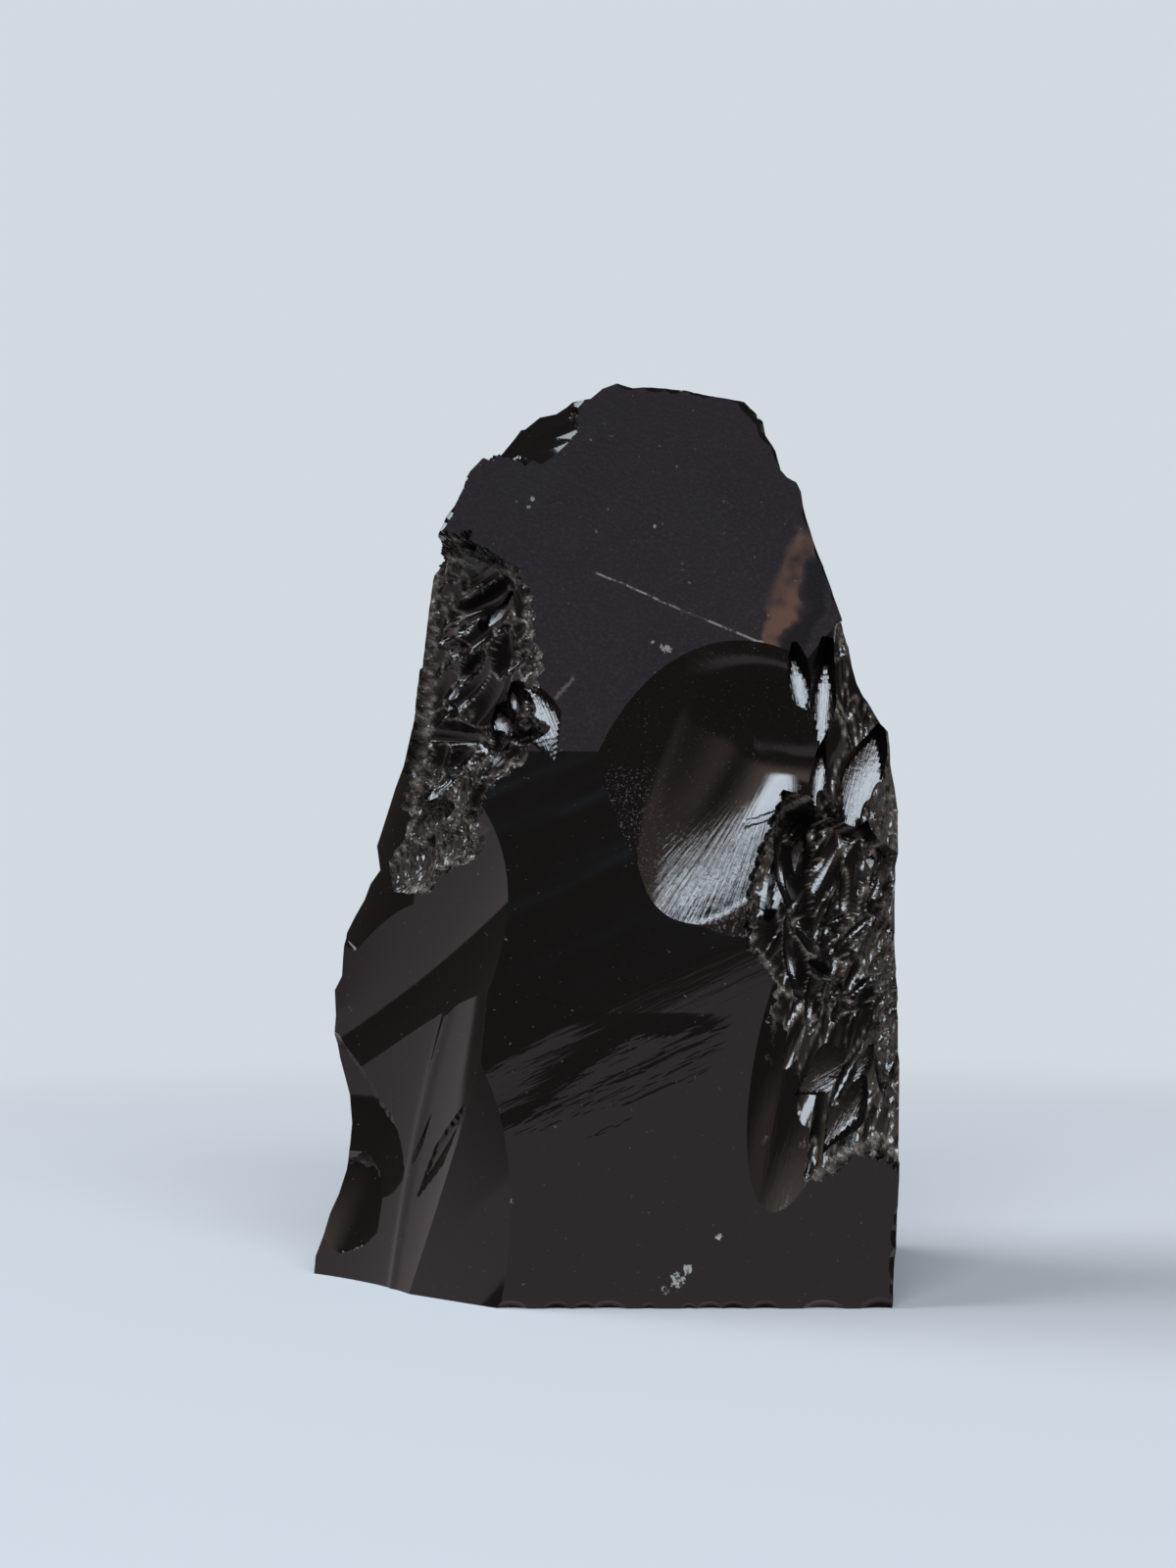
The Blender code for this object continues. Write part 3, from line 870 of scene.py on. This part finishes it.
colour = mixed(bruises * noise(here, 1900.0, 3.0).over(0.35, 0.6), colour, BRUISE)
glass_finish(
    FINISHES["broad"], 0.035 + (specks + bruises).clamped() * 0.3, colour,
    bump=hackle * 5e-6 + islands * fringed * (clusters + 0.15) * 7e-5,
)
print("broad face:", len(tree.nodes), "nodes")

# %% [markdown]
# ## The scoop
# Everything here radiates from the blow at the right. The deeper bowl is brushed by fine fibres, and
# pitted; where it mirrors the window, this turns into silky strokes. Frosted specks lie on the slope
# at its left, and one hair crack crosses the bright part.

# %% The scoop
tree = FINISHES["scoop"].node_tree
along, across = crack_map(tree)
here, right, height = place_parts(tree)
hackle = streaks(along, across, 0.5, 6.0, 4.0, 3.0)
fibres = streaks(along, across, 1.2, 42.0, 3.0, 15.0)
bruised = between(right, 0.0010, 0.0062, 0.002) * between(height, 0.046, 0.057, 0.003)
cloud = noise(here, 260.0, 4.0)
frost = (noise(here, 4200.0) + bruised * 0.08 + cloud * 0.16).over(0.77, 0.80)
in_bowl = (1.0 - height.over(0.0475, 0.056)) * right.over(0.004, 0.008)
pitted = (noise(here, 2600.0, 3.0) + in_bowl * 0.04 + cloud * 0.15).over(0.69, 0.73)
specks = (frost + pitted * in_bowl).clamped()
brushed = streaks(along, across, 0.9, 16.0, 4.0, 19.0)
mottled = noise(here, 750.0, 3.0)
off, run, length = stroke(right, height, (0.0160, 0.0523), (0.0212, 0.0541), (mottled - 0.5) * 0.0007)
crack = between(off, -0.0002, 0.0002, 0.0003) * between(run, 0.0, length, 0.0008)
glass_finish(
    FINISHES["scoop"], 0.05 + in_bowl * 0.04 + specks * 0.3, mixed(specks * 0.3, BLACK, DUST),
    bump=hackle * 6e-6 + fibres * (0.2 + in_bowl) * 2.2e-5 + brushed * in_bowl * 1.2e-4 + crack * 4e-5
    + mottled * in_bowl * 5e-5,
)
print("scoop:", len(tree.nodes), "nodes")

# %% [markdown]
# ## The plain scars
# The other scars are clean glass, with only a breath of hackle and some dust.

# %% The plain scars
tree = FINISHES["scar"].node_tree
along, across = crack_map(tree)
hackle = streaks(along, across, 0.5, 6.0, 4.0, 7.0)
here = coordinates(tree)
specks = noise(here, 1700.0).over(0.71, 0.75)
glass_finish(FINISHES["scar"], 0.05 + specks * 0.3, mixed(specks * 0.4, BLACK, DUST), bump=hackle * 5e-6)
print("plain scars:", len(tree.nodes), "nodes")

# %% [markdown]
# ## Crushed glass
# Below the size of the modelled splinters there are still finer ones. A Voronoi texture drawn out
# along the crack gives each cell its own tilt, but only where the glass is crumbled: in clouds, and
# along the ridges between the flakes, which the edge map knows. Crushed edges scatter light, so they
# are also paler than the glass.

# %% Crushed glass
SPLINTER = 0.00026
DRAWN_OUT = {"Location": (1.3, 1.3, 1.3), "Rotation": (0.0, 0.5, 0.0), "Scale": (1.0, 1.0, 0.35)}
TILT = 1.5
CRUSHED = (0.18, 0.148, 0.122, 1.0)


def splintered(place):
    """A random tilt for each splinter: cells drawn out along the crack, each one facing its own way."""
    waves = {"Vector": place, "Scale": 0.35 / SPLINTER, "Detail": 2.0}
    warp = node(place.tree, "TexNoise", {}, waves, output=1)
    bent = vector_math("MULTIPLY_ADD", warp, (2.2 * SPLINTER,) * 3, place)
    stretched = node(place.tree, "Mapping", {}, {"Vector": bent, **DRAWN_OUT})
    grid = {"Vector": stretched, "Scale": 1.0 / SPLINTER}
    cells = node(place.tree, "TexVoronoi", {}, grid, output=1)
    return scaled(vector_math("SUBTRACT", cells, (0.5, 0.5, 0.5)), TILT)


tree = FINISHES["crushed"].node_tree
here, right, height = place_parts(tree)
facing = node(tree, "NewGeometry", output="Normal")
fine = splintered(here)
edge, _, _ = separated(node(tree, "UVMap", {"uv_map": "edge"}))
clouds = noise(here, 260.0, 4.0, 0.65)
left_band = (1.0 - right.over(-0.016, -0.012)) * (1.0 - height.over(0.052, 0.064))
right_band = right.over(0.0265, 0.0315) * height.over(0.015, 0.025)
dust = ((left_band + right_band) * 0.22 + clouds).over(0.60, 0.72)
crumbled = edge * clouds.over(0.30, 0.52)
broken = (dust + crumbled).clamped()
turned = vector_math("NORMALIZE", vector_math("ADD", facing, scaled(fine, broken)))
along, across = crack_map(tree)
fibres = streaks(along, across, 3.0, 30.0, 3.0, 5.0)
pale = mixed((broken * 0.2 + crumbled).clamped(), BLACK, CRUSHED)
glass_finish(
    FINISHES["crushed"], 0.08 + broken * 0.08, pale, bump=fibres * 3e-5, normal=turned, mirroring=0.45
)
print("crushed glass:", len(tree.nodes), "nodes")

# %% [markdown]
# ## The bright splinters
# The splinters that mirror the window are ribbed by fine fibres along their length.

# %% The bright splinters
tree = FINISHES["leaf"].node_tree
along, across = crack_map(tree)
fibres = streaks(along, across, 2.0, 45.0, 3.0, 9.0)
here = coordinates(tree)
waves = noise(here, 1200.0)
glass_finish(FINISHES["leaf"], 0.09, BLACK, bump=fibres * 5e-5 + waves * 3e-5)
print("bright splinters:", len(tree.nodes), "nodes")

# %% [markdown]
# ## The satin face
# The upper face has a fine grain that spreads the light, so it looks grey-violet instead of black. Soft
# clouds of red and olive run through it, and a mahogany band, stained by iron, crosses its right edge.
# A dotted scratch, a short mark and a few bruises are drawn with lines and spots in the face's plane.
# A dark strip beside the mahogany band is painted shade.
# Towards the top the face is darkened: that darkening is painted shade.

# %% The satin face
VIOLET, REDDISH = (0.0098, 0.0068, 0.0095, 1.0), (0.0120, 0.0074, 0.0082, 1.0)
OLIVE, SPARKLE = (0.0102, 0.0080, 0.0076, 1.0), (0.023, 0.0162, 0.0186, 1.0)
TOP_SHADE, BAND_SHADE = (0.0045, 0.0032, 0.0038, 1.0), (0.004, 0.003, 0.003, 1.0)
MAHOGANY, SCRATCHED = (0.072, 0.036, 0.024, 1.0), (0.16, 0.14, 0.13, 1.0)
FACE_BRUISES = (
    (0.0070, 0.0713, 0.0005), (-0.0076, 0.0876, 0.0003), (-0.0080, 0.0868, 0.0002),
    (0.0169, 0.0717, 0.0005), (0.0055, 0.0720, 0.0002), (0.0058, 0.0846, 0.0002),
)
tree = FINISHES["satin"].node_tree
here, right, height = place_parts(tree)
grain = noise(here, 2500.0, 3.0)
clouds = noise(here, 55.0, 3.0)
patches = noise(here, 130.0, 3.0)
colour = mixed(clouds.over(0.42, 0.62), VIOLET, REDDISH)
colour = mixed(patches.over(0.52, 0.66) * 0.8, colour, OLIVE)
colour = mixed(grain.over(0.45, 0.75) * 0.6, colour, SPARKLE)
# painted shade: the colour darkens towards the top
colour = mixed(height.over(0.070, 0.102) * 0.45, colour, TOP_SHADE)
off, run, length = stroke(right, height, (0.0226, 0.0828), (0.0180, 0.0705), (patches - 0.5) * 0.008)
stain = between(off, -0.0009, 0.0008, 0.0008) * between(run, 0.0, length, 0.002)
colour = mixed(stain * patches.over(0.30, 0.50), colour, MAHOGANY)
# painted shade: a dark strip beside the mahogany band
shade = between(off, -0.0034, -0.0022, 0.0006) * between(run, 0.0, length, 0.002)
colour = mixed(shade, colour, BAND_SHADE)
off, run, length = stroke(right, height, (-0.0003, 0.0794), (0.0178, 0.0716), (clouds - 0.5) * 0.0012)
line = between(off, -0.00006, 0.00006, 0.00010) * between(run, 0.0, length, 0.0005)
dotted = line * (noise(here, 900.0).over(0.46, 0.56) * 0.8 + 0.1)
short, reach, size = stroke(right, height, (-0.0049, 0.0659), (-0.0031, 0.0680), (grain - 0.5) * 0.0008)
mark = between(short, -0.0001, 0.0001, 0.0002) * between(reach, 0.0, size, 0.0003)
bruises = pits(right, height, FACE_BRUISES, grain)
specks = noise(here, 1300.0).over(0.72, 0.76)
worn = (dotted * 0.9 + mark * 0.3 + bruises + specks * 0.35).clamped()
colour = mixed(worn, colour, SCRATCHED)
glass_finish(FINISHES["satin"], 0.45, colour, bump=grain * 3e-5, mirroring=0.055)
print("satin face:", len(tree.nodes), "nodes")

# %% [markdown]
# ## The sawn base
# The base was cut flat so that the lump stands. A saw leaves glass dull and grey.

# %% The sawn base
SAWN = (0.03, 0.028, 0.028, 1.0)
glass_finish(FINISHES["sawn"], 0.5, SAWN)
print("finishes:", ", ".join(FINISHES))

# %% [markdown]
# ## The floor
# The lump stands on a plain pale sheet. Further out, the sheet glows with the wall's colour, so there
# is no line where it ends. Mirror rays pass through it: they see the floor of the room instead. The
# sheet lies a hair below the lump, so that the two never share a plane.

# %% The floor
REACH = 4.0
DROP = 5e-5
SHEET, HAZE, WALL = (0.52, 0.52, 0.525, 1.0), (0.60, 0.63, 0.66, 1.0), (0.645, 0.70, 0.75, 1.0)

paper = bpy.data.materials.new("paper")
paper.use_nodes = True
tree = paper.node_tree
shader = tree.nodes["Principled BSDF"]
shader.inputs["Base Color"].default_value = SHEET
shader.inputs["Roughness"].default_value = 0.9
shader.inputs["Specular IOR Level"].default_value = 0.0
away = node(tree, "VectorMath", {"operation": "LENGTH"}, [coordinates(tree)], output=1)
lit = node(tree, "Emission", {}, [mixed(away.over(0.19, 0.27), HAZE, WALL), 1.0])
fading = node(tree, "MixShader", {}, [away.over(0.16, 0.30), Value(tree, shader.outputs[0]), lit])
tree.links.new(fading.socket, tree.nodes["Material Output"].inputs["Surface"])
bm = bmesh.new()
corners = ((-REACH, -REACH), (REACH, -REACH), (REACH, REACH), (-REACH, REACH))
bm.faces.new([bm.verts.new((x, y, -DROP)) for x, y in corners])
sheet = bpy.data.meshes.new("floor")
bm.to_mesh(sheet)
bm.free()
sheet.materials.append(paper)
floor = placed("floor", sheet)
floor.visible_glossy = False
print("floor:", tuple(round(value, 2) for value in floor.dimensions), "m")

# %% [markdown]
# ## The windows
# One wide window stands high in front, and one at the left. They are soft lights, and they are what
# the bowl and the splinters mirror. A lamp's power is its radiance times its area times pi.

# %% The windows
DISTANCE = 2.5
LUMP_CENTRE = vec(0, 0, 0.05)
PALE_BLUE = (0.79, 0.89, 1.0)


def window(name, azimuth, elevation, wide, high, radiance):
    """A lamp that fills these angles, in degrees, as seen from the lump; azimuth 0 is the front."""
    turn, rise = math.radians(azimuth), math.radians(elevation)
    toward = vec(math.sin(turn) * math.cos(rise), -math.cos(turn) * math.cos(rise), math.sin(rise))
    lamp = bpy.data.lights.new(name, "AREA")
    lamp.shape = "RECTANGLE"
    lamp.size = 2 * DISTANCE * math.tan(math.radians(wide) * math.cos(rise) / 2)
    lamp.size_y = 2 * DISTANCE * math.tan(math.radians(high) / 2)
    lamp.energy = radiance * lamp.size * lamp.size_y * math.pi
    lamp.color = PALE_BLUE
    made = placed(name, lamp)
    made.location = LUMP_CENTRE + toward * DISTANCE
    made.rotation_mode = "QUATERNION"
    made.rotation_quaternion = toward.to_track_quat("Z", "Y")
    made.visible_camera = False


window("front_window", 4.5, 33, 61, 17, 15.0)
window("left_window", -95, 44, 60, 30, 8.0)
print("windows:", [made.name for made in bpy.data.objects if made.type == "LIGHT"])

# %% [markdown]
# ## The room
# A mirror shows the room, so the room matters more than the light. Black glass needs something dark to
# look black, and something pale to show its facets. The world gives the mirror rays a table that ends
# at a slanting line, a dark side above it, a warm sill and a warm wall at the right, and a pale wall
# behind. A world's directions have length 1, so the limits below are sines of angles.

# %% The places in the room
room = bpy.data.worlds.new("room")
bpy.context.scene.world = room
room.use_nodes = True
tree = room.node_tree
for old in list(tree.nodes):
    tree.nodes.remove(old)
direction = node(tree, "TexCoord", output="Generated")
toward_right, toward_back, upward = separated(direction)
slope = (toward_right * 0.458 + toward_back * 0.0843).math("MAXIMUM", -0.105).math("MINIMUM", -0.02)
leftness = (toward_right * -1.0).over(0.25, 0.55)
edge = slope * (1.0 - leftness) + leftness * -0.02
edge = edge.math("MINIMUM", toward_right * -0.5 + 0.03)
in_front = (toward_back * -1.0).over(0.1, 0.6)
under_table = (1.0 - upward.over(-0.21, -0.18)).math("MAXIMUM", toward_right.over(0.12, 0.18))
table = (1.0 - (upward - edge).over(-0.001, 0.001)) * (1.0 - in_front * under_table)
sill = upward.over(0.12, 0.42) * (1.0 - upward.over(0.42, 0.5)) * in_front
at_right = toward_right.over(0.40, 0.64) * upward.over(-0.22, -0.03)
right_wall = at_right * (1.0 - upward.over(0.40, 0.55)) * in_front
behind = toward_back.over(0.80, 0.93) * (1.0 - upward.over(0.3, 0.5))
print("places:", len(tree.nodes), "nodes")

# %% [markdown]
# Only mirror rays see that room. The camera sees a plain wall, and all other rays get an even grey.

# %% The light of the room
DARK_SIDE, SILL, BROWN = (0.07, 0.055, 0.045, 1.0), (1.3, 1.0, 0.86, 1.0), (0.50, 0.36, 0.30, 1.0)
TABLE, PALE_WALL = (0.56, 0.47, 0.505, 1.0), (0.62, 0.66, 0.70, 1.0)
EVEN_GREY = (0.16, 0.16, 0.16, 1.0)
seen = mixed(right_wall * (1.0 - sill), mixed(sill, DARK_SIDE, SILL), BROWN)
seen = mixed(behind, mixed(table, seen, TABLE), PALE_WALL)
mirrored, ambient, wall = (
    node(tree, "Background", {}, [light, 1.0]) for light in (seen, EVEN_GREY, WALL)
)
is_glossy = node(tree, "LightPath", output="Is Glossy Ray")
is_camera = node(tree, "LightPath", output="Is Camera Ray")
unseen = node(tree, "MixShader", {}, [is_glossy, ambient, mirrored])
both = node(tree, "MixShader", {}, [is_camera, unseen, wall])
node(tree, "OutputWorld", {}, [both])
print("room:", len(tree.nodes), "nodes")

# %% [markdown]
# ## The camera
# It looks level at the middle of the lump from about a third of a metre.

# %% The camera
SENSOR, FOCAL_LENGTH, NEAREST = 36.0, 70.2, 0.01
STANDPOINT = (-0.00144, -0.353, 0.0566)
lens = bpy.data.cameras.new("camera")
lens.sensor_width = SENSOR
lens.lens = FOCAL_LENGTH
lens.clip_start = NEAREST
camera = placed("camera", lens)
camera.location = STANDPOINT
camera.rotation_euler = (math.pi / 2, 0, 0)
bpy.context.scene.camera = camera
bpy.context.scene.view_settings.view_transform = "Standard"
print("camera at", STANDPOINT)
